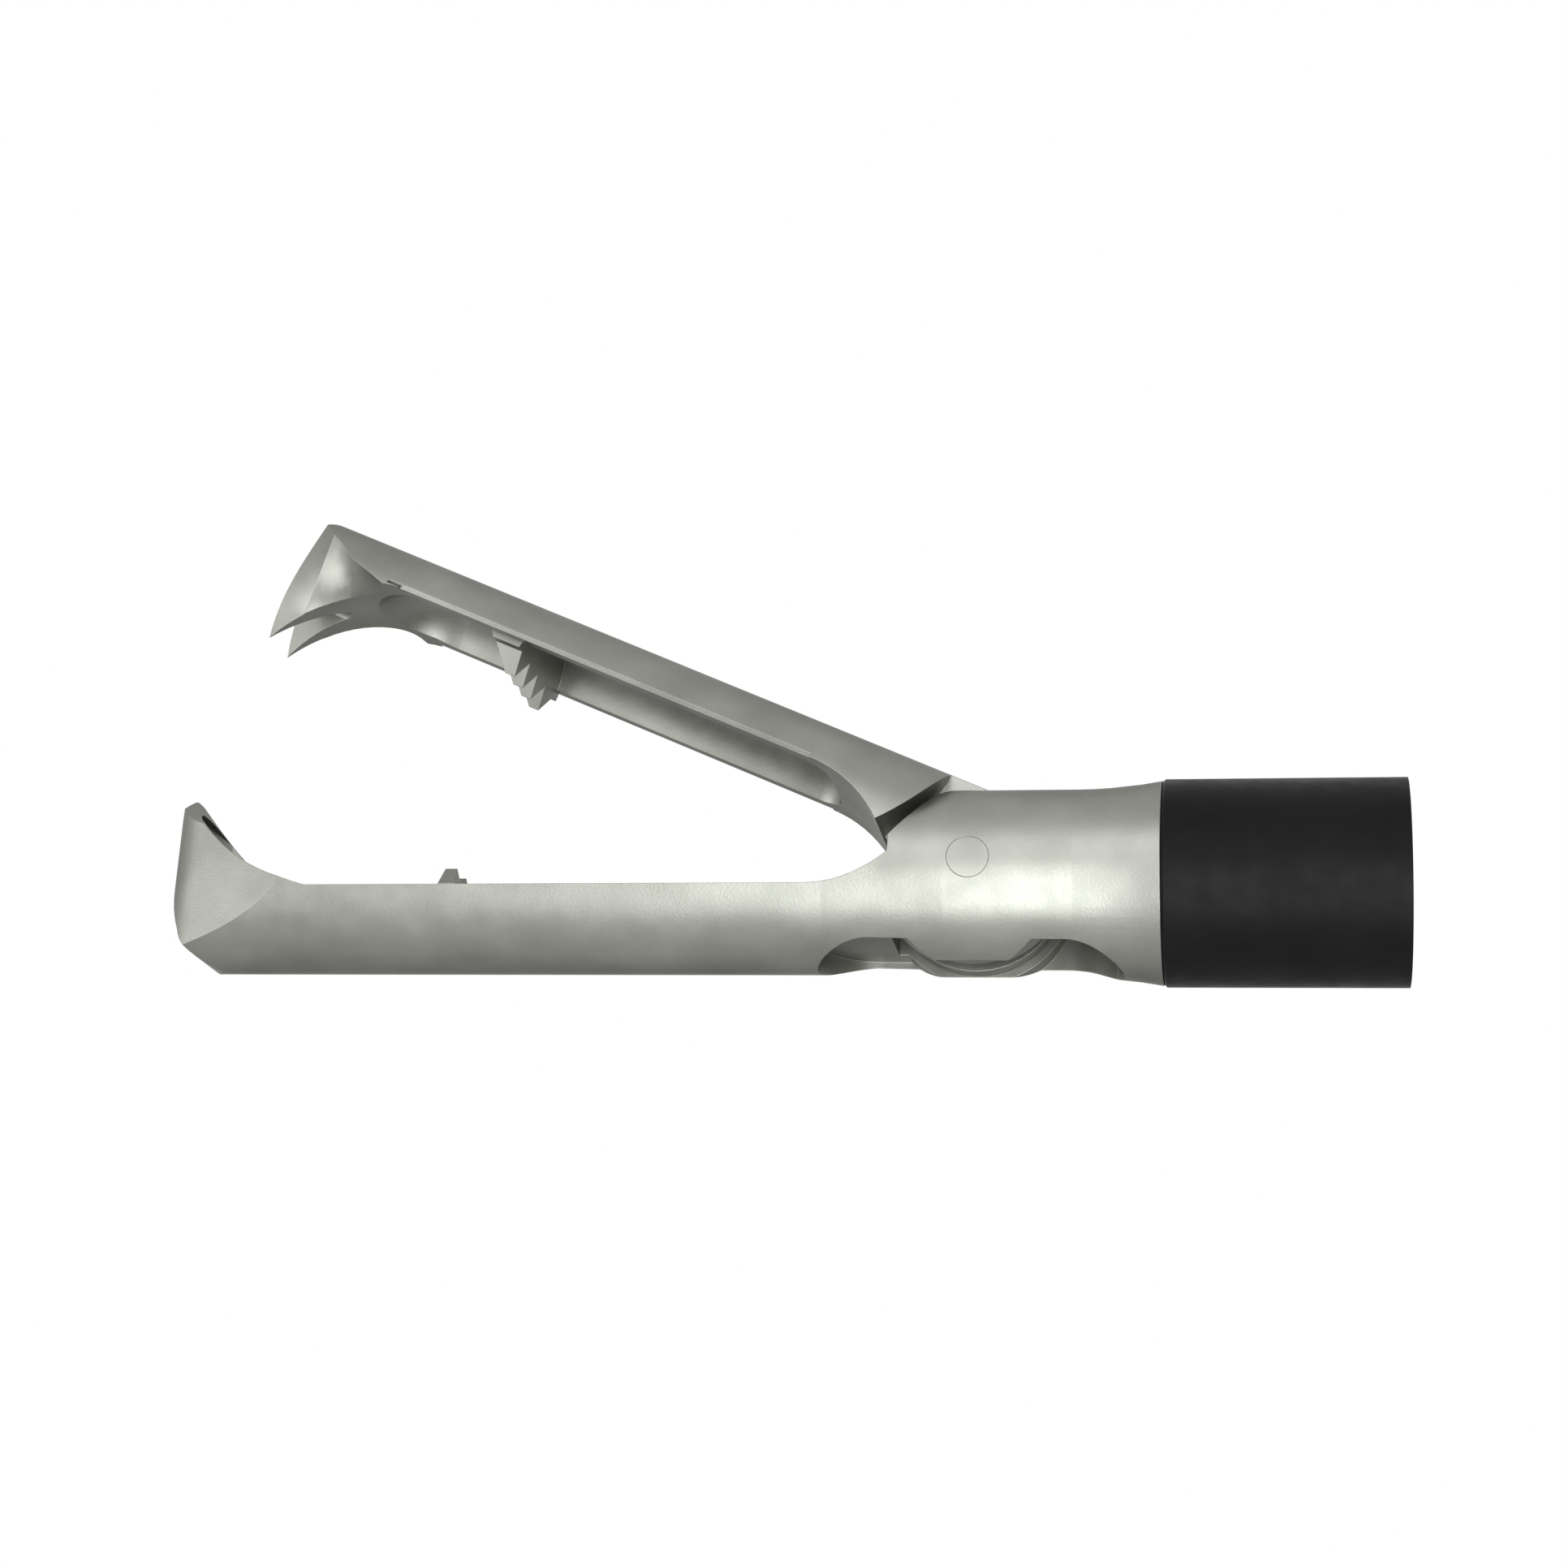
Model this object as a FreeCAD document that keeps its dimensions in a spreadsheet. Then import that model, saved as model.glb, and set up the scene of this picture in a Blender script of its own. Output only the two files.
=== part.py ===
import FreeCAD, Part
import math
import os
import re
import Sketcher

# Spoon grasping forceps, 10 mm single-action working end, in millimetres.
# X runs along the shaft with the jaws towards -X, Z is up, and Y = 0 is the plane of symmetry.
# The origin is the centre of the shaft's cut rear end. The upper jaw stands fully open.

doc = FreeCAD.newDocument("spoon_forceps")
sizes = doc.addObject("Spreadsheet::Sheet", "sizes")

DIMENSIONS = {
    # Shaft: an insulating sleeve on a steel tube with a plastic liner
    "shaft_radius": 5.0,
    "shaft_length": 11.5,
    "sleeve_wall": 0.38,
    "sleeve_edge": 0.15,
    "tube_wall": 0.45,
    "tube_setback": 0.3,
    "liner_wall": 0.4,
    "nest_gap": 0.02,
    # Jaw housing behind the fixed jaw
    "waist_radius": 4.55,
    "skirt_radius": 4.92,
    "skirt_start": 15.6,
    "taper_start": 27.5,
    "taper_end": 21.7,
    "spigot_length": 7.5,
    "rim_drop": 1.18,
    "throat_x": 28.3,
    "throat_radius": 6.1,
    "notch_x": 24.34,
    "notch_low": 0.33,
    "notch_high": 1.2,
    "brow_x": 22.2,
    "brow_height": 3.75,
    "brow_end_x": 21.0,
    # Slot for the tongue, and the window milled under it
    "tongue_slot": 3.1,
    "slot_top_end": 18.2,
    "chamber_end": 10.2,
    "chamber_height": 1.75,
    "slot_gap": 0.2,
    "slot_open_end": 13.7,
    "window_width": 5.6,
    "window_front": 28.1,
    "window_rear": 13.3,
    "window_front_floor": 3.15,
    "window_rear_floor": 1.1,
    "ear_radius": 4.62,
    # Pivot, hub and drive linkage
    "pivot_x": 20.5,
    "open_angle": 23.6,
    "pivot_pin_radius": 1.0,
    "hub_radius": 4.2,
    "hub_width": 2.9,
    "drive_radius": 2.7,
    "drive_angle": 12.0,
    "drive_pin_radius": 0.6,
    "link_reach": 6.6,
    "link_rise": 0.03,
    "link_thickness": 1.1,
    "link_slot": 1.3,
    "link_end_radius": 1.0,
    "link_pin_radius": 0.5,
    "float_gap": 0.07,
    "run_gap": 0.03,
    "press_gap": 0.01,
    # Rod head, rod and what carries it
    "head_radius": 1.5,
    "head_length": 2.9,
    "head_slot_depth": 1.2,
    "rod_radius": 1.0,
    "rod_engagement": 1.4,
    "head_pin_radius": 0.3,
    "head_pin_x": 0.8,
    "bush_radius": 3.0,
    "bush_front": 9.2,
    "bush_length": 3.2,
    "seal_length": 0.9,
    "seal_squeeze": 0.05,
    "retainer_length": 0.7,
    "retainer_inner_radius": 1.7,
    "rod_cover_wall": 0.45,
    "rod_cover_length": 3.4,
    "lock_pin_radius": 0.5,
    "lock_pin_x": 8.6,
    "lock_pin_length": 1.0,
    "lock_pin_sink": 0.05,
    # Both spoon jaws
    "jaw_radius": 4.43,
    "jaw_wall": 0.78,
    "cavity_rear": 28.9,
    "cavity_corner": 1.6,
    # Fixed jaw: rounded nose with one claw
    "nose_x": 61.3,
    "nose_shoulder_x": 59.55,
    "nose_shoulder_width": 2.51,
    "nose_root_x": 54.0,
    "nose_wall": 0.7,
    "flank_wall": 0.3,
    "inner_chin_wall": 0.45,
    "inner_chin_z": 2.9,
    "inner_chin_top": 0.6,
    "inner_chin_radius": 1.2,
    "inner_chin_end_x": 58.7,
    "claw_tip_x": 60.7,
    "claw_tip_z": 4.55,
    "claw_front_radius": 9.2,
    "chin_x": 60.3,
    "chin_z": 2.8,
    "chin_end_x": 58.2,
    "chin_radius": 2.3,
    "claw_back_x": 53.1,
    "claw_back_radius": 11.9,
    "claw_point": 0.12,
    "claw_side_radius": 9.3,
    # Moving jaw: solid nose with hollow-ground flanks and two claws
    "lid_rim": 1.64,
    "rim_bevel": 0.25,
    "rim_bevel_rise": 1.3,
    "lid_cavity_centre": 51.9,
    "lid_front_x": 59.0,
    "fang_tip_x": 59.55,
    "fang_tip_z": 2.8,
    "fang_front_radius": 12.0,
    "arch_start_x": 53.2,
    "arch_radius": 8.0,
    "groove_top": 0.1,
    "groove_half_width": 0.45,
    "groove_radius": 0.5,
    "groove_lean": 18.0,
    # The flanks in four sections: where each is, and its edge, heel and foot across and up
    "flank_rear_x": 53.9,
    "flank_mid_x": 56.3,
    "flank_fore_x": 58.3,
    "flank_front_x": 60.3,
    "rear_edge_y": 4.19,
    "rear_edge_z": 1.43,
    "rear_heel_y": 1.0,
    "rear_heel_z": 1.33,
    "rear_foot_y": 0.9,
    "mid_edge_y": 3.87,
    "mid_edge_z": 2.16,
    "mid_heel_y": 1.43,
    "mid_heel_z": 0.2,
    "mid_foot_y": 1.3,
    "fore_edge_y": 3.1,
    "fore_edge_z": 3.16,
    "fore_heel_y": 1.66,
    "fore_heel_z": -1.1,
    "fore_foot_y": 1.45,
    "front_edge_y": 1.65,
    "front_edge_z": 4.4,
    "front_heel_y": 1.55,
    "front_heel_z": -1.1,
    "front_foot_y": 1.36,
    "flank_foot_z": 3.4,
    "heel_start_x": 29.8,
    "heel_x": 25.4,
    "heel_radius": 6.6,
    "nape_x": 23.67,
    "nape_z": 3.75,
    "nape_radius": 7.2,
    "tongue_back_x": 21.3,
    "tongue_front_x": 27.3,
    "tongue_front_z": 1.4,
    "tongue_under_x": 25.2,
    # Toothed cross ridges
    "ridge_base": 1.7,
    "ridge_tip": 0.6,
    "tooth_pitch": 1.62,
    "tooth_depth": 1.15,
    "lid_ridge_rear": 45.8,
    "lid_ridge_tip_rear": 46.0,
    "lid_ridge_tip_front": 46.55,
    "lid_ridge_ramp": 47.8,
    "lid_ridge_front": 48.0,
    "lid_ridge_tip": 0.06,
    "ridge_x": 46.0,
    "ridge_tip_drop": 0.1,
}

for row, (name, number) in enumerate(DIMENSIONS.items(), start=1):
    sizes.set(f"A{row}", name)
    sizes.set(f"B{row}", str(number))
    sizes.setAlias(f"B{row}", name)
doc.recompute()


def bound(words):
    """The same expression with each size looked up in the sheet."""
    return re.sub(r"\b([a-z]+(?:_[a-z]+)+)\b", r"sizes.\1", words)


def value(words):
    return float(doc.sizes.evalExpression(words))


# Sketches and features

AXES = {"x": -1, "y": -2}
BEYOND = "9.0"
BELOW = "0 - 9.0"
ACROSS = "18.0"


def plane_of(body, role):
    return next(item for item in body.Origin.OriginFeatures if item.Role == role)


def arc_between(start, end, radius, turn):
    """Arc from start to end, bending left for a turn of 1 and right for -1."""
    chord = end - start
    half = chord.Length / 2
    across = FreeCAD.Vector(-chord.y, chord.x, 0).normalize()
    rise = math.sqrt(max(radius * radius - half * half, 0.0))
    centre = (start + end) * 0.5 + across * (rise * turn)
    first, last = (start, end) if turn > 0 else (end, start)
    angle_1 = math.atan2(first.y - centre.y, first.x - centre.x)
    angle_2 = math.atan2(last.y - centre.y, last.x - centre.x)
    circle = Part.Circle(centre, FreeCAD.Vector(0, 0, 1), radius)
    return Part.ArcOfCircle(circle, angle_1, angle_2)


def place_point(sketch, edge, end, words):
    """Ties one end of an edge to a pair of expressions."""
    for kind, axis, text in (("DistanceX", AXES["y"], words[0]), ("DistanceY", AXES["x"], words[1])):
        if text == "0":
            sketch.addConstraint(Sketcher.Constraint("PointOnObject", edge, end, axis))
            continue
        number = sketch.addConstraint(Sketcher.Constraint(kind, -1, 1, edge, end, value(text)))
        sketch.setExpression(f"Constraints[{number}]", bound(text))


def add_outline(sketch, path):
    """One closed outline. A step is (u, v) after a straight run, or (u, v, radius, turn) after an arc."""
    points = [FreeCAD.Vector(value(step[0]), value(step[1]), 0) for step in path]
    first_edge = sketch.GeometryCount
    heads = []
    tails = []
    for index, step in enumerate(path):
        start = points[index - 1]
        end = points[index]
        if len(step) == 2:
            sketch.addGeometry(Part.LineSegment(start, end))
            heads.append(1)
            tails.append(2)
        else:
            radius, turn = step[2], step[3]
            edge = sketch.addGeometry(arc_between(start, end, value(radius), turn))
            heads.append(1 if turn > 0 else 2)
            tails.append(2 if turn > 0 else 1)
    count = len(path)
    for index, step in enumerate(path):
        edge = first_edge + index
        following = (index + 1) % count
        joint = Sketcher.Constraint(
            "Coincident", edge, tails[index], first_edge + following, heads[following]
        )
        sketch.addConstraint(joint)
        place_point(sketch, edge, tails[index], step[:2])
        if len(step) > 2:
            number = sketch.addConstraint(Sketcher.Constraint("Radius", edge, value(step[2])))
            sketch.setExpression(f"Constraints[{number}]", bound(step[2]))


def add_circle(sketch, centre, radius):
    """A circle whose centre and radius are expressions."""
    spot = FreeCAD.Vector(value(centre[0]), value(centre[1]), 0)
    edge = sketch.addGeometry(Part.Circle(spot, FreeCAD.Vector(0, 0, 1), value(radius)))
    place_point(sketch, edge, 3, centre)
    number = sketch.addConstraint(Sketcher.Constraint("Radius", edge, value(radius)))
    sketch.setExpression(f"Constraints[{number}]", bound(radius))


def new_sketch(body, role, name, offset=None):
    sketch = body.newObject("Sketcher::SketchObject", name)
    sketch.AttachmentSupport = [(plane_of(body, role), "")]
    sketch.MapMode = "FlatFace"
    if offset:
        sketch.setExpression("AttachmentOffset.Base.z", bound(offset))
    return sketch


def outline(body, role, name, *paths, offset=None):
    sketch = new_sketch(body, role, name, offset)
    for path in paths:
        add_outline(sketch, path)
    return sketch


def pad(body, sketch, length):
    """Solid of the sketch's outline, centred on its plane."""
    item = body.newObject("PartDesign::Pad", sketch.Name + "_pad")
    item.Profile = sketch
    item.SideType = "Symmetric"
    item.setExpression("Length", bound(length))
    return item


def pocket(body, sketch, length=None, one_way=None):
    """Cut through the whole body, or centred on the plane, or one way from it (1 or -1)."""
    item = body.newObject("PartDesign::Pocket", sketch.Name + "_cut")
    item.Profile = sketch
    if one_way is None:
        item.SideType = "Symmetric"
    else:
        item.SideType = "One side"
        item.Reversed = one_way > 0
    if length is None:
        item.Type = "ThroughAll"
    else:
        item.setExpression("Length", bound(length))
    return item


def revolve(body, sketch):
    item = body.newObject("PartDesign::Revolution", sketch.Name + "_turn")
    item.Profile = sketch
    item.ReferenceAxis = (sketch, ["H_Axis"])
    item.Angle = 360
    return item


def new_body(label):
    body = doc.addObject("PartDesign::Body", label)
    body.Label = label
    return body


def boolean(kind, label, base, tools):
    """Cut, fuse or intersect whole pieces."""
    names = {"cut": "Part::Cut", "common": "Part::Common"}
    if kind == "fuse":
        item = doc.addObject("Part::MultiFuse", label)
        item.Shapes = [base] + tools
        return item
    item = doc.addObject(names[kind], label)
    item.Base = base
    if len(tools) > 1:
        joined = doc.addObject("Part::MultiFuse", label + "_tools")
        joined.Shapes = tools
        item.Tool = joined
    else:
        item.Tool = tools[0]
    return item


def disc(label, x, z, radius, width):
    """Cylinder across the forceps, centred on the plane of symmetry."""
    item = doc.addObject("Part::Cylinder", label)
    item.Placement.Rotation = FreeCAD.Rotation(FreeCAD.Vector(1, 0, 0), 90)
    item.setExpression("Radius", bound(radius))
    item.setExpression("Height", bound(width))
    item.setExpression("Placement.Base.x", bound(x))
    item.setExpression("Placement.Base.z", bound(z))
    item.setExpression("Placement.Base.y", bound(f"({width}) / 2"))
    return item


def box(label, x_low, x_high, width, z_low, z_high):
    item = doc.addObject("Part::Box", label)
    item.setExpression("Length", bound(f"({x_high}) - ({x_low})"))
    item.setExpression("Width", bound(width))
    item.setExpression("Height", bound(f"({z_high}) - ({z_low})"))
    item.setExpression("Placement.Base.x", bound(x_low))
    item.setExpression("Placement.Base.y", bound(f"0 - ({width}) / 2"))
    item.setExpression("Placement.Base.z", bound(z_low))
    return item


def post(label, x, radius, z_low, z_high):
    """Upright cylinder on the plane of symmetry."""
    item = doc.addObject("Part::Cylinder", label)
    item.setExpression("Radius", bound(radius))
    item.setExpression("Height", bound(f"({z_high}) - ({z_low})"))
    item.setExpression("Placement.Base.x", bound(x))
    item.setExpression("Placement.Base.z", bound(z_low))
    return item


def tube(label, x_low, x_high, outer, inner):
    """Ring or tube along the shaft, turned from its half section."""
    body = new_body(label)
    corners = [(x_low, inner), (x_high, inner), (x_high, outer), (x_low, outer)]
    revolve(body, outline(body, "XZ_Plane", label + "_section", corners))
    return body


# Places that several pieces share

SLEEVE_INNER = "shaft_radius - sleeve_wall"
TUBE_OUTER = "shaft_radius - sleeve_wall - nest_gap"
TUBE_INNER = "shaft_radius - sleeve_wall - nest_gap - tube_wall"
SPIGOT_RADIUS = "shaft_radius - sleeve_wall - nest_gap - tube_wall - nest_gap"
SPIGOT_END = "spigot_length - shaft_length"
SKIRT_RISE = "(skirt_radius - waist_radius)"
SKIRT_FLARE = f"((skirt_start - shaft_length) ^ 2 + {SKIRT_RISE} ^ 2) / (2 * {SKIRT_RISE})"
CAVITY_RADIUS = "jaw_radius - jaw_wall"
DRIVE_X = "0 - pivot_x - drive_radius * sin(drive_angle)"
DRIVE_Z = "0 - drive_radius * cos(drive_angle)"
LINK_X = "0 - pivot_x - drive_radius * sin(drive_angle) + link_reach"


# Spoon shapes: a side profile, rounded to the shaft's cylinder and tapered to a nose in plan

def trim_to_barrel(body, label, radius):
    """Removes what stands outside a cylinder on the shaft's axis."""
    barrel = new_sketch(body, "YZ_Plane", label + "_barrel")
    add_outline(barrel, [(BELOW, BELOW), (BEYOND, BELOW), (BEYOND, BEYOND), (BELOW, BEYOND)])
    add_circle(barrel, ("0", "0"), radius)
    pocket(body, barrel)


def spoon(label, side, plan, radius):
    body = new_body(label)
    pad(body, outline(body, "XZ_Plane", label + "_side", side), ACROSS)
    trim_to_barrel(body, label, radius)
    pocket(body, outline(body, "XY_Plane", label + "_plan", plan))
    return body


def nose_plan(tip_x, shoulder_x, shoulder_width, root_x, root_width):
    """What the taper of a nose removes: everything in front of it and beside it."""
    bulge = f"(({shoulder_x}) - ({tip_x}))"
    nose_radius = f"(({shoulder_width}) ^ 2 + {bulge} ^ 2) / (2 * {bulge})"
    front = f"({tip_x}) - {BEYOND}"
    return [
        (root_x, BEYOND),
        (front, BEYOND),
        (front, BELOW),
        (root_x, BELOW),
        (root_x, f"0 - ({root_width})"),
        (shoulder_x, f"0 - ({shoulder_width})"),
        (shoulder_x, shoulder_width, nose_radius, -1),
        (root_x, root_width),
    ]


def toothed_bar(label, section, tip_z, sign, offset, ends):
    """Cross ridge with pointed teeth up to some pitches each side. Sign 1 points them up, -1 down."""
    body = new_body(label)
    pad(body, outline(body, "XZ_Plane", label + "_section", section), f"2 * ({CAVITY_RADIUS}) + jaw_wall")
    root = f"({tip_z}) - ({sign}) * tooth_depth"
    mouth = f"({tip_z}) + ({sign}) * tooth_depth"
    for count in range(-3, 3):
        middle = f"{count + offset + 0.5} * tooth_pitch"
        triangle = [(middle, root), (f"{middle} + tooth_pitch", mouth), (f"{middle} - tooth_pitch", mouth)]
        pocket(body, outline(body, "YZ_Plane", f"{label}_valley_{count + 3}", triangle))
    for name, side in (("near", "(-1)"), ("far", "1")):
        beyond_teeth = [
            (f"{side} * {ends} * tooth_pitch", root),
            (f"{side} * {BEYOND}", root),
            (f"{side} * {BEYOND}", mouth),
            (f"{side} * {ends} * tooth_pitch", mouth),
        ]
        pocket(body, outline(body, "YZ_Plane", f"{label}_{name}_end", beyond_teeth))
    trim_to_barrel(body, label, f"{CAVITY_RADIUS} + jaw_wall / 2")
    return body


def fixed_jaw_blank():
    """Turned outside of the housing with its spigot, cut to its side profile."""
    body = new_body("housing_blank")
    turned = [
        (f"0 - nose_x - {BEYOND}", "0"),
        (f"0 - nose_x - {BEYOND}", "jaw_radius"),
        ("0 - taper_start", "jaw_radius"),
        ("0 - taper_end", "waist_radius"),
        ("0 - skirt_start", "waist_radius"),
        ("0 - shaft_length", "skirt_radius", SKIRT_FLARE, 1),
        ("0 - shaft_length", SPIGOT_RADIUS),
        (SPIGOT_END, SPIGOT_RADIUS),
        (SPIGOT_END, "0"),
    ]
    revolve(body, outline(body, "XZ_Plane", "housing_turned", turned))
    side = [
        ("0 - claw_tip_x", "claw_tip_z", "claw_back_radius", -1),
        ("0 - chin_x", "0 - chin_z", "claw_front_radius", 1),
        ("0 - chin_end_x", "0 - jaw_radius - 0.02", "chin_radius", 1),
        ("0 - chin_end_x", BELOW),
        (f"0 - nose_x - {BEYOND} * 2", BELOW),
        (f"0 - nose_x - {BEYOND} * 2", BEYOND),
        ("0 - brow_end_x", BEYOND),
        ("0 - brow_end_x", "waist_radius + 0.2"),
        ("0 - brow_x", "brow_height"),
        ("0 - notch_x", "notch_high"),
        ("0 - notch_x", "notch_low"),
        ("0 - throat_x", "0 - rim_drop", "throat_radius", -1),
        ("0 - claw_back_x", "0 - rim_drop"),
    ]
    pocket(body, outline(body, "XZ_Plane", "housing_side", side))
    plan = nose_plan(
        "0 - nose_x", "0 - nose_shoulder_x", "nose_shoulder_width", "0 - nose_root_x", "jaw_radius + 0.1"
    )
    pocket(body, outline(body, "XY_Plane", "housing_plan", plan))
    claw_front = [
        ("claw_point", "claw_tip_z + 0.05"),
        ("jaw_radius + 0.1", "0 - rim_drop", "claw_side_radius", -1),
        (BEYOND, "0 - rim_drop"),
        (BEYOND, BEYOND),
        (BELOW, BEYOND),
        (BELOW, "0 - rim_drop"),
        ("0 - jaw_radius - 0.1", "0 - rim_drop"),
        ("0 - claw_point", "claw_tip_z + 0.05", "claw_side_radius", -1),
    ]
    claw_cut = outline(body, "YZ_Plane", "housing_claw", claw_front, offset="0 - claw_back_x")
    pocket(body, claw_cut, one_way=-1)
    return body


FLANKS = ("rear", "mid", "fore", "front")


def flank_section(place, side):
    """What one flank of the nose loses at one section: all that is outside its edge, heel and foot."""
    across = f"({side}) * {place}"
    run = f"({place}_edge_y - {place}_heel_y)"
    rise = f"({place}_edge_z - {place}_heel_z)"
    return [
        (f"({side}) * ({place}_edge_y + {run})", f"{place}_edge_z + {rise}"),
        (f"{across}_heel_y", f"{place}_heel_z"),
        (f"{across}_foot_y", "0 - flank_foot_z"),
        (f"({side}) * {BEYOND}", "0 - flank_foot_z"),
        (f"({side}) * {BEYOND}", f"{place}_edge_z + {rise}"),
    ]


def lid_blank():
    """Outside of the moving jaw, in its closed place."""
    body = new_body("lid_blank")
    side = [
        ("0 - nape_x", BEYOND),
        ("0 - lid_front_x", BEYOND),
        ("0 - lid_front_x", "jaw_radius + run_gap"),
        ("0 - fang_tip_x", "0 - fang_tip_z", "fang_front_radius", 1),
        ("0 - arch_start_x", "lid_rim", "arch_radius", -1),
        ("0 - heel_start_x", "lid_rim"),
        ("0 - heel_x", "0", "heel_radius", -1),
        ("0 - nape_x", "nape_z", "nape_radius", 1),
    ]
    pad(body, outline(body, "XZ_Plane", "lid_side", side), ACROSS)
    trim_to_barrel(body, "lid", "jaw_radius")
    for name, side in (("near", "-1"), ("far", "1")):
        sections = [
            outline(body, "YZ_Plane", f"lid_{name}_{place}", flank_section(place, side),
                    offset=f"0 - flank_{place}_x")
            for place in FLANKS
        ]
        grind = body.newObject("PartDesign::SubtractiveLoft", f"lid_{name}_flank")
        grind.Profile = sections[0]
        grind.Sections = sections[1:]
        grind.Ruled = True
    rim_y = "sqrt(jaw_radius ^ 2 - lid_rim ^ 2)"
    for name, side in (("near", "(-1)"), ("far", "1")):
        bevel = [
            (f"{side} * ({rim_y} - rim_bevel)", "lid_rim"),
            (f"{side} * ({rim_y} + rim_bevel)", f"lid_rim + rim_bevel * rim_bevel_rise * 2"),
            (f"{side} * {BEYOND}", "lid_rim"),
        ]
        strip = outline(body, "YZ_Plane", f"lid_{name}_bevel", bevel, offset="0 - heel_start_x")
        pocket(body, strip, "flank_rear_x - heel_start_x", one_way=-1)
    depth = f"({BEYOND} - groove_top)"
    mouth = f"groove_half_width + {depth} * tan(groove_lean)"
    groove = [
        ("0 - groove_half_width", "groove_top"),
        (f"0 - ({mouth})", f"groove_top - {depth}"),
        (mouth, f"groove_top - {depth}"),
        ("groove_half_width", "groove_top"),
        ("0 - groove_half_width", "groove_top", "groove_radius", 1),
    ]
    groove_cut = outline(body, "YZ_Plane", "lid_groove", groove[1:], offset="0 - arch_start_x")
    pocket(body, groove_cut, one_way=-1)
    return body


def tongue():
    """Flat tongue of the moving jaw with its round hub, in its closed place."""
    body = new_body("tongue")
    side = [
        ("0 - pivot_x", "hub_radius", "hub_radius", 1),
        ("0 - tongue_back_x", "jaw_radius + 0.1"),
        ("0 - tongue_front_x", "jaw_radius + 0.1"),
        ("0 - tongue_front_x", "tongue_front_z"),
        ("0 - tongue_under_x", "0"),
        ("0 - pivot_x - hub_radius", "0"),
        ("0 - pivot_x", "0 - hub_radius", "hub_radius", 1),
        ("0 - pivot_x + hub_radius", "0", "hub_radius", 1),
    ]
    pad(body, outline(body, "XZ_Plane", "tongue_side", side), "hub_width")
    trim_to_barrel(body, "tongue", "jaw_radius")
    return body


LEAN = "(atan(drive_radius * cos(drive_angle) / link_reach) / 1 deg)"
CLOSED_DRIVE_X = "(0 - pivot_x + drive_radius * sin(open_angle - drive_angle))"
CLOSED_DRIVE_Z = "(0 - drive_radius * cos(open_angle - drive_angle))"
LINK_ROOM = "(link_end_radius + slot_gap)"


def link_relief():
    """Slot in the hub that the link swings in."""
    body = new_body("link_relief")
    steep = f"(open_angle + {LEAN})"
    corner_x = f"{CLOSED_DRIVE_X} - {LINK_ROOM} * sin({steep})"
    corner_z = f"{CLOSED_DRIVE_Z} + {LINK_ROOM} * cos({steep})"
    side = [
        (f"{CLOSED_DRIVE_X} - {LINK_ROOM}", "-7"),
        ("-12", "-7"),
        ("-12", f"{corner_z} + (-12 - ({corner_x})) * tan({steep})"),
        (corner_x, corner_z),
        (f"{CLOSED_DRIVE_X} - {LINK_ROOM}", corner_z),
    ]
    pad(body, outline(body, "XZ_Plane", "relief_side", side), "link_slot")
    return body


def moving_jaw():
    """Upper spoon with two claws, a toothed ridge, and the tongue and hub that it turns on."""
    cavity = new_body("lid_cavity")
    turned = [
        ("0 - cavity_rear", "0"),
        ("0 - cavity_rear", f"{CAVITY_RADIUS} - cavity_corner"),
        ("0 - cavity_rear - cavity_corner", CAVITY_RADIUS, "cavity_corner", 1),
        ("0 - lid_cavity_centre", CAVITY_RADIUS),
        (f"0 - lid_cavity_centre - ({CAVITY_RADIUS})", "0", CAVITY_RADIUS, 1),
    ]
    revolve(cavity, outline(cavity, "XZ_Plane", "lid_cavity_turned", turned))
    shell = boolean("cut", "lid_shell", lid_blank(), [cavity])
    ridge = [
        ("0 - lid_ridge_rear", CAVITY_RADIUS + " + jaw_wall / 4"),
        ("0 - lid_ridge_front", CAVITY_RADIUS + " + jaw_wall / 4"),
        ("0 - lid_ridge_ramp", "lid_rim"),
        ("0 - lid_ridge_tip_front", "lid_ridge_tip"),
        ("0 - lid_ridge_tip_rear", "lid_ridge_tip"),
    ]
    bar = toothed_bar("lid_ridge", ridge, "lid_ridge_tip", -1, 0.5, 2)
    whole = boolean("fuse", "lid_whole", shell, [bar, tongue()])
    cuts = [
        disc("pivot_bore", "0 - pivot_x", "0", "pivot_pin_radius + run_gap", "12"),
        disc("drive_bore", CLOSED_DRIVE_X, CLOSED_DRIVE_Z, "drive_pin_radius + press_gap", "12"),
        link_relief(),
    ]
    jaw = boolean("cut", "moving_jaw", whole, cuts)
    return jaw


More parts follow.
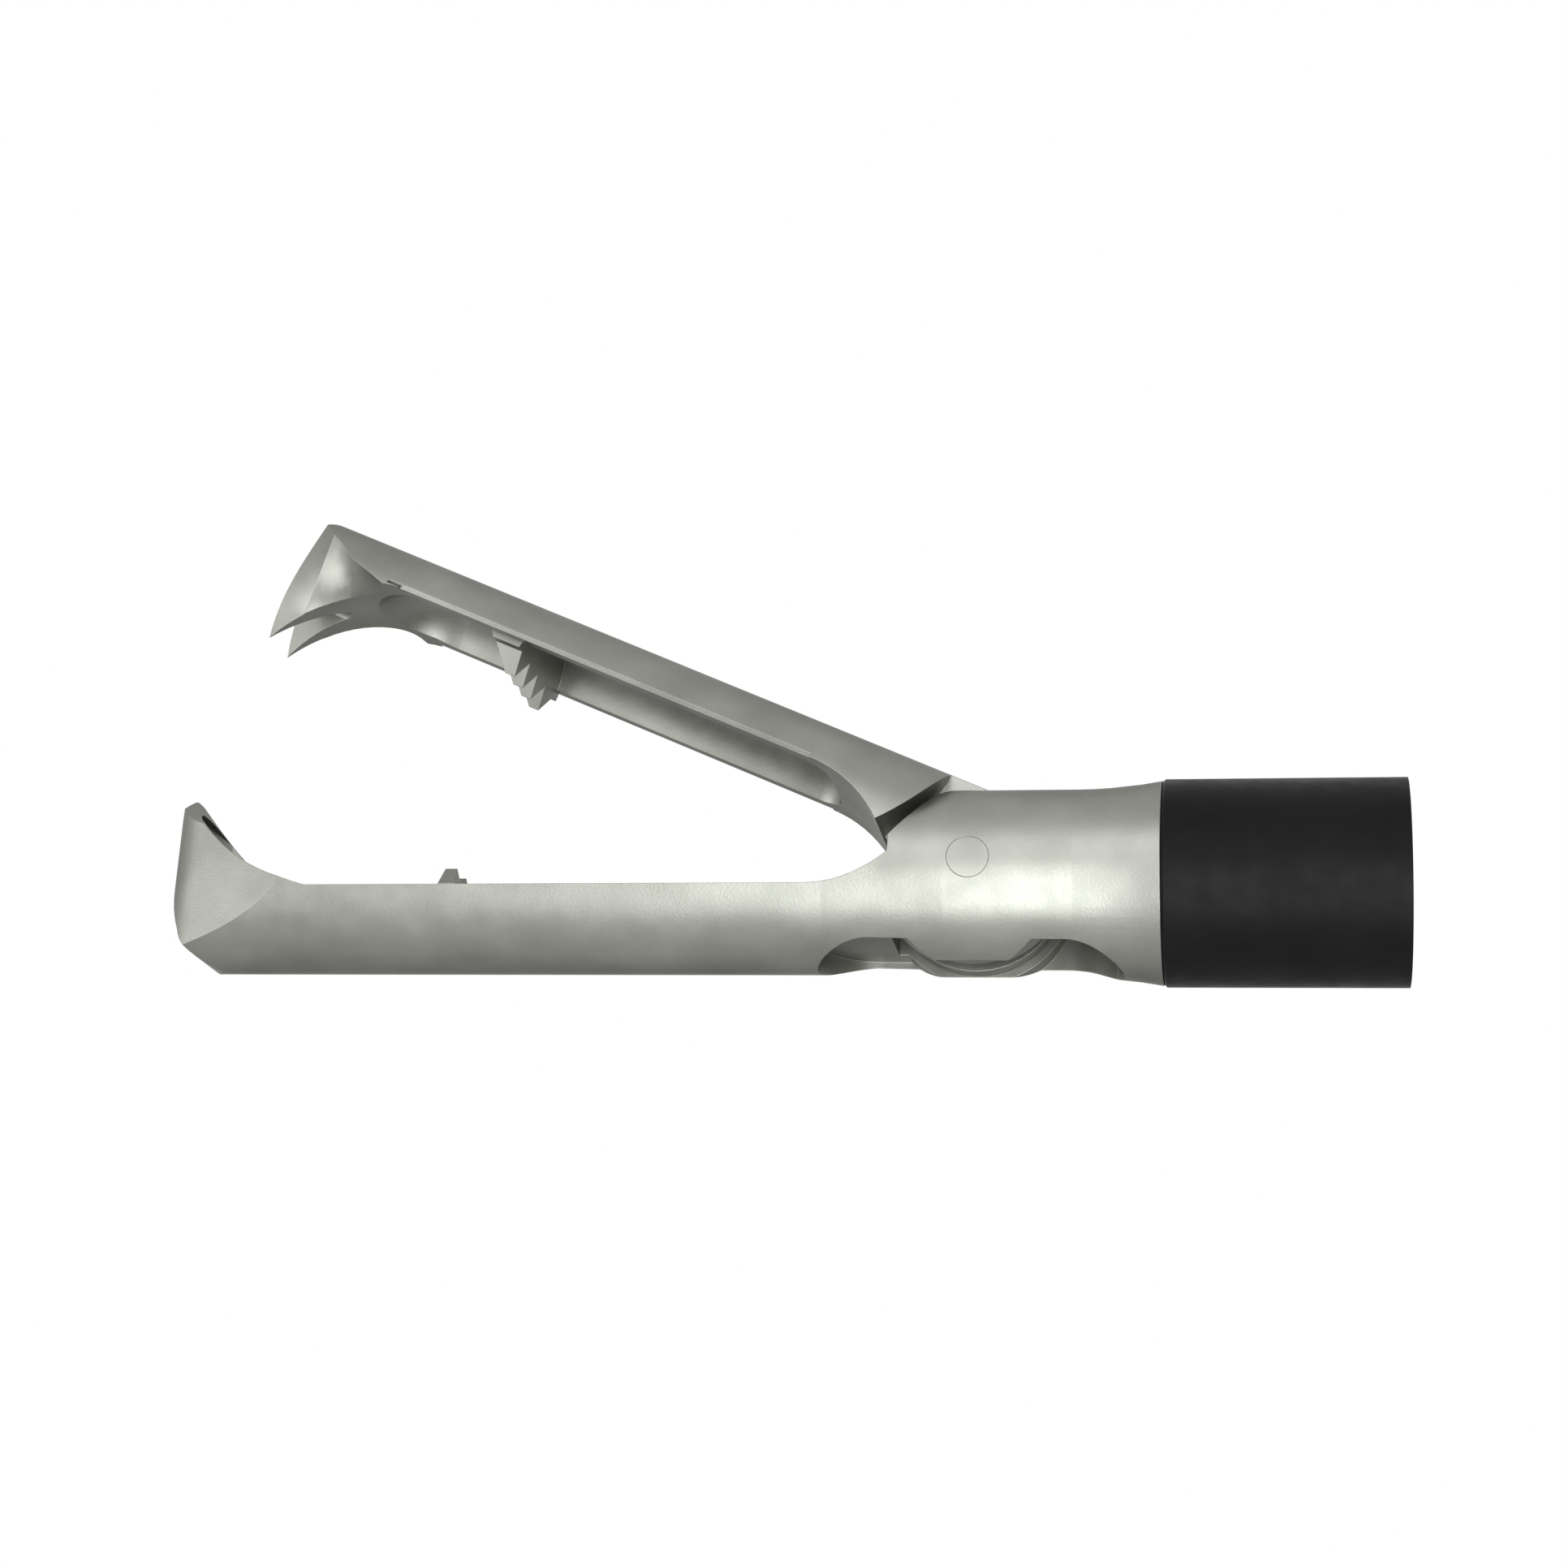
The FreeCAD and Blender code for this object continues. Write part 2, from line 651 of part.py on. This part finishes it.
def jaw_housing():
    """Fixed lower spoon, cheeks, skirt and spigot in one piece."""
    inner_side = [
        ("0 - cavity_rear", "6"),
        ("0 - nose_x + nose_wall", "6"),
        ("0 - nose_x + nose_wall", "0 - inner_chin_top"),
        ("0 - chin_x + inner_chin_wall", "0 - inner_chin_z"),
        ("0 - inner_chin_end_x", f"0 - ({CAVITY_RADIUS}) - 0.02", "inner_chin_radius", 1),
        ("0 - cavity_rear - cavity_corner", f"0 - ({CAVITY_RADIUS}) - 0.02"),
        ("0 - cavity_rear", f"0 - ({CAVITY_RADIUS}) + cavity_corner", "cavity_corner", 1),
    ]
    inner_plan = nose_plan(
        "0 - nose_x + nose_wall",
        "0 - nose_shoulder_x",
        "nose_shoulder_width - flank_wall",
        "0 - nose_root_x",
        "jaw_radius + 0.1 - flank_wall",
    )
    cavity = spoon("housing_cavity", inner_side, inner_plan, CAVITY_RADIUS)
    shell = boolean("cut", "housing_shell", fixed_jaw_blank(), [cavity])
    floor = f"0 - ({CAVITY_RADIUS}) - jaw_wall / 4"
    ridge = [
        ("0 - ridge_x - ridge_base / 2", floor),
        ("0 - ridge_x + ridge_base / 2", floor),
        ("0 - ridge_x + ridge_tip / 2", "0 - ridge_tip_drop"),
        ("0 - ridge_x - ridge_tip / 2", "0 - ridge_tip_drop"),
    ]
    bar = toothed_bar("housing_ridge", ridge, "0 - ridge_tip_drop", 1, 0, 2.5)
    whole = boolean("fuse", "housing_whole", shell, [bar])
    hub_room = "hub_radius + slot_gap"
    slot = [
        disc("slot_round", "0 - pivot_x", "0", hub_room, "tongue_slot"),
        box("slot_top", "0 - tongue_front_x", "0 - slot_top_end", "tongue_slot", "0 - slot_gap", "7"),
        box("slot_low", f"0 - pivot_x - ({hub_room}) * 0.88", "0 - slot_open_end", "tongue_slot", "-7", "0"),
        box("chamber", "0 - pivot_x", "0 - chamber_end", "tongue_slot", "0 - chamber_height", "chamber_height"),
    ]
    windows = [
        window("front", "0 - window_front", "0 - pivot_x", "window_front_floor"),
        window("rear", "0 - pivot_x", "0 - window_rear", "window_rear_floor"),
    ]
    bores = [
        disc("pivot_hole", "0 - pivot_x", "0", "pivot_pin_radius + press_gap", "12"),
        along("rod_hole", "0 - chamber_end - 1", SPIGOT_END + " + 1", "rod_radius + run_gap * 2"),
        along("bush_hole", "0 - bush_front", SPIGOT_END + " + 1", "bush_radius + press_gap"),
    ]
    holes = lock_pins("lock_hole", "lock_pin_radius + press_gap", 2.0)
    return boolean("cut", "jaw_housing", whole, slot + windows + bores + holes)


def along(label, x_low, x_high, radius):
    """Cylinder along the shaft."""
    item = doc.addObject("Part::Cylinder", label)
    item.Placement.Rotation = FreeCAD.Rotation(FreeCAD.Vector(0, 1, 0), 90)
    item.setExpression("Radius", bound(radius))
    item.setExpression("Height", bound(f"({x_high}) - ({x_low})"))
    item.setExpression("Placement.Base.x", bound(x_low))
    return item


def window(name, x_low, x_high, floor):
    """Round-ended cut from below that leaves the ears of the pivot standing."""
    half = "window_width / 2"
    inner_low = f"{x_low} + {half}" if name == "front" else x_low
    inner_high = x_high if name == "front" else f"{x_high} - {half}"
    end = inner_low if name == "front" else inner_high
    body = box(f"window_{name}_middle", inner_low, inner_high, "window_width", "-7", f"0 - {floor}")
    round_end = post(f"window_{name}_end", end, half, "-7", f"0 - {floor}")
    both = boolean("fuse", f"window_{name}_whole", body, [round_end])
    ear = disc(f"window_{name}_ear", "0 - pivot_x", "0", "ear_radius", "12")
    return boolean("cut", f"window_{name}", both, [ear])


def lock_pins(label, radius, extra):
    """Three radial pins round the shaft, or the holes for them."""
    pins = []
    for count in range(3):
        item = doc.addObject("Part::Cylinder", f"{label}_{count}")
        item.setExpression("Radius", bound(radius))
        item.setExpression("Height", bound(f"lock_pin_length + {extra}"))
        turn = math.radians(120 * count)
        item.Placement.Rotation = FreeCAD.Rotation(FreeCAD.Vector(1, 0, 0), 120 * count)
        start = f"({TUBE_OUTER} - lock_pin_sink - lock_pin_length)"
        item.setExpression("Placement.Base.x", bound("0 - lock_pin_x"))
        item.setExpression("Placement.Base.y", bound(f"{-math.sin(turn):.6f} * {start}"))
        item.setExpression("Placement.Base.z", bound(f"{math.cos(turn):.6f} * {start}"))
        pins.append(item)
    return pins


def pivot_pin():
    """Cross pin whose ends are ground flush with the housing."""
    blank = disc("pivot_blank", "0 - pivot_x", "0", "pivot_pin_radius", "2 * waist_radius")
    envelope = along("pivot_envelope", "0 - pivot_x - 2", "0 - pivot_x + 2", "waist_radius")
    return boolean("common", "jaw_pivot_pin", blank, [envelope])


def drive_link():
    """Flat link from the hub's drive pin to the rod head."""
    blank = new_body("link_blank")
    lean = f"({LEAN})"
    start = (DRIVE_X, DRIVE_Z)
    finish = (LINK_X, "link_rise")
    away = (f"link_end_radius * sin({lean})", f"link_end_radius * cos({lean})")
    side = [
        (f"{start[0]} - {away[0]}", f"{start[1]} + {away[1]}"),
        (f"{start[0]} - {away[1]}", f"{start[1]} - {away[0]}", "link_end_radius", 1),
        (f"{start[0]} + {away[0]}", f"{start[1]} - {away[1]}", "link_end_radius", 1),
        (f"{finish[0]} + {away[0]}", f"{finish[1]} - {away[1]}"),
        (f"{finish[0]} + {away[1]}", f"{finish[1]} + {away[0]}", "link_end_radius", 1),
        (f"{finish[0]} - {away[0]}", f"{finish[1]} + {away[1]}", "link_end_radius", 1),
    ]
    pad(blank, outline(blank, "XZ_Plane", "link_side", side), "link_thickness")
    holes = [
        disc("link_front_hole", start[0], start[1], "drive_pin_radius + run_gap", "12"),
        disc("link_rear_hole", finish[0], finish[1], "link_pin_radius + float_gap", "12"),
    ]
    return boolean("cut", "drive_link", blank, holes)


def rod_head():
    """Slotted head on the front of the push rod."""
    blank = new_body("head_blank")
    rear = f"{LINK_X} + head_length"
    side = [
        (LINK_X, "head_radius"),
        (f"{LINK_X} - head_radius", "0", "head_radius", 1),
        (LINK_X, "0 - head_radius", "head_radius", 1),
        (rear, "0 - head_radius"),
        (rear, "head_radius"),
    ]
    pad(blank, outline(blank, "XZ_Plane", "head_side", side), "hub_width")
    cuts = [
        box("head_slot", f"{LINK_X} - 3", f"{LINK_X} + head_slot_depth", "link_slot", "-3", "3"),
        disc("head_pin_hole", LINK_X, "0", "link_pin_radius + press_gap", "12"),
        along("head_rod_hole", f"{rear} - rod_engagement", f"{rear} + 1", "rod_radius + press_gap"),
        post("head_cross_hole", f"{rear} - head_pin_x", "head_pin_radius + press_gap", "-3", "3"),
    ]
    return boolean("cut", "rod_head", blank, cuts)


def push_rod():
    """Round rod, flush with the shaft's cut end while the jaw is open."""
    rear = f"{LINK_X} + head_length"
    blank = along("rod_blank", f"{rear} - rod_engagement", "0", "rod_radius")
    hole = post("rod_cross_hole", f"{rear} - head_pin_x", "head_pin_radius + press_gap", "-3", "3")
    return boolean("cut", "push_rod", blank, [hole])


def sleeve():
    """Outer insulating sleeve with a broken front edge."""
    body = new_body("insulation_sleeve")
    section = [
        ("0", SLEEVE_INNER),
        ("0", "shaft_radius"),
        ("0 - shaft_length + sleeve_edge", "shaft_radius"),
        ("0 - shaft_length", "shaft_radius - sleeve_edge"),
        ("0 - shaft_length", SLEEVE_INNER),
    ]
    revolve(body, outline(body, "XZ_Plane", "sleeve_section", section))
    return body


def bush_stack(label, start, length, inner, outer="bush_radius"):
    return tube(label, start, f"{start} + {length}", outer, inner)


def shaft_tube():
    blank = tube("tube_blank", "0 - shaft_length + tube_setback", "0", TUBE_OUTER, TUBE_INNER)
    holes = lock_pins("tube_hole", "lock_pin_radius + press_gap", 2.0)
    return boolean("cut", "shaft_tube", blank, holes)


def pin_group():
    pins = lock_pins("lock_pin", "lock_pin_radius", 0.0)
    return boolean("fuse", "tube_lock_pins", pins[0], pins[1:])


SEAL_START = "0 - bush_front + bush_length + nest_gap"
RETAINER_START = "0 - bush_front + bush_length + nest_gap + seal_length + nest_gap"
HEAD_REAR = f"{LINK_X} + head_length"

nodes = {
    "jaw_housing": jaw_housing(),
    "moving_jaw": moving_jaw(),
    "jaw_pivot_pin": pivot_pin(),
    "drive_link": drive_link(),
    "drive_pin": disc("drive_pin", DRIVE_X, DRIVE_Z, "drive_pin_radius", "hub_width"),
    "link_pin": disc("link_pin", LINK_X, "0", "link_pin_radius", "hub_width"),
    "rod_head": rod_head(),
    "rod_head_pin": post(
        "rod_head_pin", f"{HEAD_REAR} - head_pin_x", "head_pin_radius", "0 - head_radius", "head_radius"
    ),
    "push_rod": push_rod(),
    "rod_insulation": tube(
        "rod_insulation",
        "0 - rod_cover_length",
        "0",
        "rod_radius + press_gap + rod_cover_wall",
        "rod_radius + press_gap",
    ),
    "rod_guide_bush": bush_stack("rod_guide_bush", "0 - bush_front", "bush_length", "rod_radius + run_gap"),
    "rod_seal": bush_stack("rod_seal", SEAL_START, "seal_length", "rod_radius + run_gap"),
    "seal_retainer": bush_stack(
        "seal_retainer", RETAINER_START, "retainer_length", "retainer_inner_radius"
    ),
    "shaft_tube": shaft_tube(),
    "tube_lock_pins": pin_group(),
    "shaft_liner": tube(
        "shaft_liner",
        SPIGOT_END + " + nest_gap",
        "0",
        TUBE_INNER + " - nest_gap",
        TUBE_INNER + " - nest_gap - liner_wall",
    ),
    "insulation_sleeve": sleeve(),
}

doc.recompute()
opened = FreeCAD.Placement(
    FreeCAD.Vector(0, 0, 0),
    FreeCAD.Rotation(FreeCAD.Vector(0, 1, 0), value("open_angle")),
    FreeCAD.Vector(value("0 - pivot_x"), 0, 0),
)
nodes["moving_jaw"].Placement = opened
doc.recompute()

for item in doc.Objects:
    if "Invalid" in item.State or "Error" in item.State:
        raise RuntimeError(f"{item.Label} failed to build: {item.State}")
os.makedirs("parts", exist_ok=True)
for name, item in nodes.items():
    item.Label = name
    if item.Shape.isNull() or not item.Shape.isValid():
        raise RuntimeError(f"{name} has no valid shape")
    item.Shape.exportStep(f"parts/{name}.step")
    size = item.Shape.BoundBox
    print(f"{name:20s} {item.Shape.Volume:9.3f} mm3  solids {len(item.Shape.Solids)}"
          f"  x {size.XMin:7.2f}..{size.XMax:6.2f}  y {size.YMin:5.2f}..{size.YMax:5.2f}"
          f"  z {size.ZMin:6.2f}..{size.ZMax:6.2f}")
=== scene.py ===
import math

import bpy
from mathutils import Matrix, Vector

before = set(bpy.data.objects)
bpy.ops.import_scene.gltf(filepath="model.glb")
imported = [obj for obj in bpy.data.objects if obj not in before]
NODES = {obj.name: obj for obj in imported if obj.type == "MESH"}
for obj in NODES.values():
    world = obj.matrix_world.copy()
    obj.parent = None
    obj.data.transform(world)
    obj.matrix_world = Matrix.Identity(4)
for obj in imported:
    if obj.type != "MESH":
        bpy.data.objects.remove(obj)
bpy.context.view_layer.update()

# Sizes are in metres. X runs along the shaft, the jaws point to -X, and Z is up.


# Materials

# Texture scales are in waves per metre
CLOUD_SCALE = 260.0
PATCH_SCALE = 700.0
METAL_GRAIN = 9000.0
PLASTIC_CLOUD = 300.0
PLASTIC_PATCH = 900.0
PLASTIC_GRAIN = 5000.0
GRAIN_DETAIL = 2.0
GRAIN_HEIGHT = 0.00002
METAL_DEPTH = 0.25
PLASTIC_DEPTH = 0.2
EDGE_ROUND = 0.00005
EDGE_SAMPLES = 6
METAL_EDGE_TINT = (0.5, 0.5, 0.5, 1.0)
EVEN = (1.0, 1.0, 1.0)
ALONG_SHAFT = (0.05, 1.0, 1.0)


def new_material(name):
    """An empty node material with its shader: (material, node tree, Principled BSDF)."""
    material = bpy.data.materials.new(name)
    material.use_nodes = True
    tree = material.node_tree
    return material, tree, tree.nodes["Principled BSDF"]


def noise(tree, scale, detail, stretch=EVEN):
    """Noise over the object's own coordinates, in waves per metre."""
    place = tree.nodes.new("ShaderNodeTexCoord")
    mapping = tree.nodes.new("ShaderNodeMapping")
    mapping.inputs["Scale"].default_value = stretch
    texture = tree.nodes.new("ShaderNodeTexNoise")
    texture.inputs["Scale"].default_value = scale
    texture.inputs["Detail"].default_value = detail
    tree.links.new(place.outputs["Object"], mapping.inputs["Vector"])
    tree.links.new(mapping.outputs["Vector"], texture.inputs["Vector"])
    return texture.outputs["Fac"]


def ramp(tree, source, low, high, start=0.3, end=0.7):
    """Spreads the part of a noise between start and end over low to high, which are numbers or colours."""
    spread = tree.nodes.new("ShaderNodeMapRange")
    spread.inputs["From Min"].default_value = start
    spread.inputs["From Max"].default_value = end
    tree.links.new(source, spread.inputs["Value"])
    if isinstance(low, (int, float)):
        spread.inputs["To Min"].default_value = low
        spread.inputs["To Max"].default_value = high
        return spread.outputs["Result"]
    mix = tree.nodes.new("ShaderNodeMix")
    mix.data_type = "RGBA"
    mix.inputs["A"].default_value = (*low, 1.0)
    mix.inputs["B"].default_value = (*high, 1.0)
    tree.links.new(spread.outputs["Result"], mix.inputs["Factor"])
    return mix.outputs["Result"]


def bump(tree, shader, height, strength):
    """Fine relief over edges that the shading rounds by EDGE_ROUND."""
    edge = tree.nodes.new("ShaderNodeBevel")
    edge.samples = EDGE_SAMPLES
    edge.inputs["Radius"].default_value = EDGE_ROUND
    node = tree.nodes.new("ShaderNodeBump")
    node.inputs["Strength"].default_value = strength
    node.inputs["Distance"].default_value = GRAIN_HEIGHT
    tree.links.new(height, node.inputs["Height"])
    tree.links.new(edge.outputs["Normal"], node.inputs["Normal"])
    tree.links.new(node.outputs["Normal"], shader.inputs["Normal"])


def steel(name, dark, light, smooth, rough, stretch=EVEN):
    """Satin steel: cloudy reflectance and roughness over a fine blasted or drawn grain."""
    material, tree, shader = new_material(name)
    shader.inputs["Metallic"].default_value = 1.0
    shader.inputs["Specular Tint"].default_value = METAL_EDGE_TINT
    cloud = noise(tree, CLOUD_SCALE, 4.0)
    tree.links.new(ramp(tree, cloud, dark, light), shader.inputs["Base Color"])
    patch = noise(tree, PATCH_SCALE, 3.0)
    tree.links.new(ramp(tree, patch, smooth, rough), shader.inputs["Roughness"])
    bump(tree, shader, noise(tree, METAL_GRAIN, GRAIN_DETAIL, stretch), METAL_DEPTH)
    return material


def plastic(name, dark, light, smooth, rough, gloss=0.5):
    """Moulded or drawn plastic with a faint texture and slightly uneven gloss."""
    material, tree, shader = new_material(name)
    shader.inputs["Specular IOR Level"].default_value = gloss
    cloud = noise(tree, PLASTIC_CLOUD, 3.0)
    tree.links.new(ramp(tree, cloud, dark, light), shader.inputs["Base Color"])
    patch = noise(tree, PLASTIC_PATCH, 2.0)
    tree.links.new(ramp(tree, patch, smooth, rough), shader.inputs["Roughness"])
    bump(tree, shader, noise(tree, PLASTIC_GRAIN, GRAIN_DETAIL), PLASTIC_DEPTH)
    return material


BLASTED = steel("blasted_steel", (0.222, 0.228, 0.205), (0.290, 0.296, 0.270), 0.37, 0.45)
# Ground steel for the inner drive parts: its roughness is the ground finish, but its base colour is set far
# darker than the blasted steel as painted shade, so the parts seen through the housing's windows look shaded
GROUND_STEEL_PAINTED_SHADE = steel("ground_steel_painted_shade", (0.090, 0.092, 0.085), (0.125, 0.127, 0.118), 0.30, 0.40)
DRAWN = steel("drawn_steel", (0.30, 0.30, 0.30), (0.36, 0.36, 0.36), 0.22, 0.30, ALONG_SHAFT)
SLEEVE = plastic("sleeve_plastic", (0.003, 0.003, 0.0033), (0.005, 0.005, 0.0053), 0.42, 0.52, 0.08)
LINER = plastic("liner_plastic", (0.72, 0.72, 0.70), (0.80, 0.80, 0.78), 0.35, 0.45)
COVER = plastic("cover_plastic", (0.60, 0.57, 0.47), (0.68, 0.65, 0.55), 0.30, 0.40)
BUSH = plastic("bush_plastic", (0.42, 0.35, 0.25), (0.50, 0.43, 0.32), 0.40, 0.52)
SEAL = plastic("seal_rubber", (0.03, 0.03, 0.03), (0.045, 0.045, 0.045), 0.55, 0.70)

FINISH = {
    "jaw_housing": BLASTED,
    "moving_jaw": BLASTED,
    "jaw_pivot_pin": BLASTED,
    # The inner parts below get the darkened ground steel, which paints the shade inside the housing's windows
    "drive_link": GROUND_STEEL_PAINTED_SHADE,
    "drive_pin": GROUND_STEEL_PAINTED_SHADE,
    "link_pin": GROUND_STEEL_PAINTED_SHADE,
    "rod_head": GROUND_STEEL_PAINTED_SHADE,
    "rod_head_pin": GROUND_STEEL_PAINTED_SHADE,
    "push_rod": DRAWN,
    "seal_retainer": DRAWN,
    "shaft_tube": DRAWN,
    "tube_lock_pins": GROUND_STEEL_PAINTED_SHADE,
    "rod_insulation": COVER,
    "rod_guide_bush": BUSH,
    "rod_seal": SEAL,
    "shaft_liner": LINER,
    "insulation_sleeve": SLEEVE,
}

SHARP_ANGLE = 24.0

for node, material in FINISH.items():
    mesh = NODES[node].data
    for index in range(len(mesh.materials)):
        mesh.materials[index] = material
    mesh.shade_smooth()
    mesh.set_sharp_from_angle(angle=math.radians(SHARP_ANGLE))


# Floor and light

def backdrop_mix(tree, plain, white):
    """White for what the camera, gloss and glass see, and the plain shader for the rest."""
    path = tree.nodes.new("ShaderNodeLightPath")
    first = tree.nodes.new("ShaderNodeMath")
    first.operation = "MAXIMUM"
    second = tree.nodes.new("ShaderNodeMath")
    second.operation = "MAXIMUM"
    tree.links.new(path.outputs["Is Camera Ray"], first.inputs[0])
    tree.links.new(path.outputs["Is Glossy Ray"], first.inputs[1])
    tree.links.new(first.outputs["Value"], second.inputs[0])
    tree.links.new(path.outputs["Is Transmission Ray"], second.inputs[1])
    mix = tree.nodes.new("ShaderNodeMixShader")
    tree.links.new(second.outputs["Value"], mix.inputs["Fac"])
    tree.links.new(plain.outputs[0], mix.inputs[1])
    tree.links.new(white.outputs[0], mix.inputs[2])
    return mix


AMBIENT_LEVEL = 0.6
WHITE_LEVEL = 1.0
WHITE = (1.0, 1.0, 1.0, 1.0)

world = bpy.data.worlds.new("studio")
bpy.context.scene.world = world
world.use_nodes = True
tree = world.node_tree
tree.nodes.clear()
ambient = tree.nodes.new("ShaderNodeBackground")
ambient.inputs["Color"].default_value = WHITE
ambient.inputs["Strength"].default_value = AMBIENT_LEVEL
white = tree.nodes.new("ShaderNodeBackground")
white.inputs["Color"].default_value = WHITE
white.inputs["Strength"].default_value = WHITE_LEVEL
output = tree.nodes.new("ShaderNodeOutputWorld")
mix = backdrop_mix(tree, ambient, white)
tree.links.new(mix.outputs["Shader"], output.inputs["Surface"])

FLOOR_Z = -0.45
FLOOR_SIZE = 6.0
FLOOR_X = -0.03
FLOOR_COLOUR = (0.86, 0.86, 0.86, 1.0)
FLOOR_ROUGHNESS = 0.9
bpy.ops.mesh.primitive_plane_add(size=FLOOR_SIZE, location=(FLOOR_X, 0.0, FLOOR_Z))
floor = bpy.context.object
floor.name = "floor"
floor_material, floor_tree, floor_shader = new_material("floor_pale")
floor_shader.inputs["Base Color"].default_value = FLOOR_COLOUR
floor_shader.inputs["Roughness"].default_value = FLOOR_ROUGHNESS
floor.data.materials.append(floor_material)

MIDDLE = Vector((-0.030, 0.0, 0.004))


def softbox(name, azimuth, elevation, distance, width, height, power):
    """Rectangular lamp that faces the forceps, in degrees, metres and watts. Azimuth 0 is -Y and 90 is +X."""
    lamp = bpy.data.lights.new(name, "AREA")
    lamp.shape = "RECTANGLE"
    lamp.size = width
    lamp.size_y = height
    lamp.energy = power
    obj = bpy.data.objects.new(name, lamp)
    bpy.context.collection.objects.link(obj)
    turn = math.radians(azimuth)
    rise = math.radians(elevation)
    away = Vector((math.sin(turn) * math.cos(rise), -math.cos(turn) * math.cos(rise), math.sin(rise)))
    obj.location = MIDDLE + away * distance
    obj.rotation_euler = (-away).to_track_quat("-Z", "Y").to_euler()
    obj.visible_camera = False
    return obj


softbox("key", 7.0, -25.0, 0.42, 0.18, 0.46, 2.1)
softbox("left", -60.0, -10.0, 0.50, 0.34, 0.40, 1.3)
softbox("front", -16.0, 30.0, 0.50, 0.30, 0.30, 0.55)


# Camera, from a fit of the modelled edges to the photograph

CAMERA_PLACE = Vector((-0.006154, -0.131985, -0.040466))
CAMERA_AIM = Vector((-0.030254, 0.0, 0.005245))
CAMERA_ROLL = math.radians(2.792)
CAMERA_LENS = 65.43

camera_data = bpy.data.cameras.new("camera")
camera_data.sensor_width = 36.0
camera_data.lens = CAMERA_LENS
camera_data.clip_start = 0.005
camera_data.clip_end = 20.0
camera = bpy.data.objects.new("camera", camera_data)
bpy.context.collection.objects.link(camera)
forward = (CAMERA_AIM - CAMERA_PLACE).normalized()
level = forward.cross(Vector((0.0, 0.0, 1.0))).normalized()
upward = level.cross(forward)
right = level * math.cos(CAMERA_ROLL) + upward * math.sin(CAMERA_ROLL)
above = upward * math.cos(CAMERA_ROLL) - level * math.sin(CAMERA_ROLL)
turned = Matrix((right, above, -forward)).transposed()
camera.matrix_world = Matrix.Translation(CAMERA_PLACE) @ turned.to_4x4()
bpy.context.scene.camera = camera

bpy.context.scene.view_settings.view_transform = "Standard"
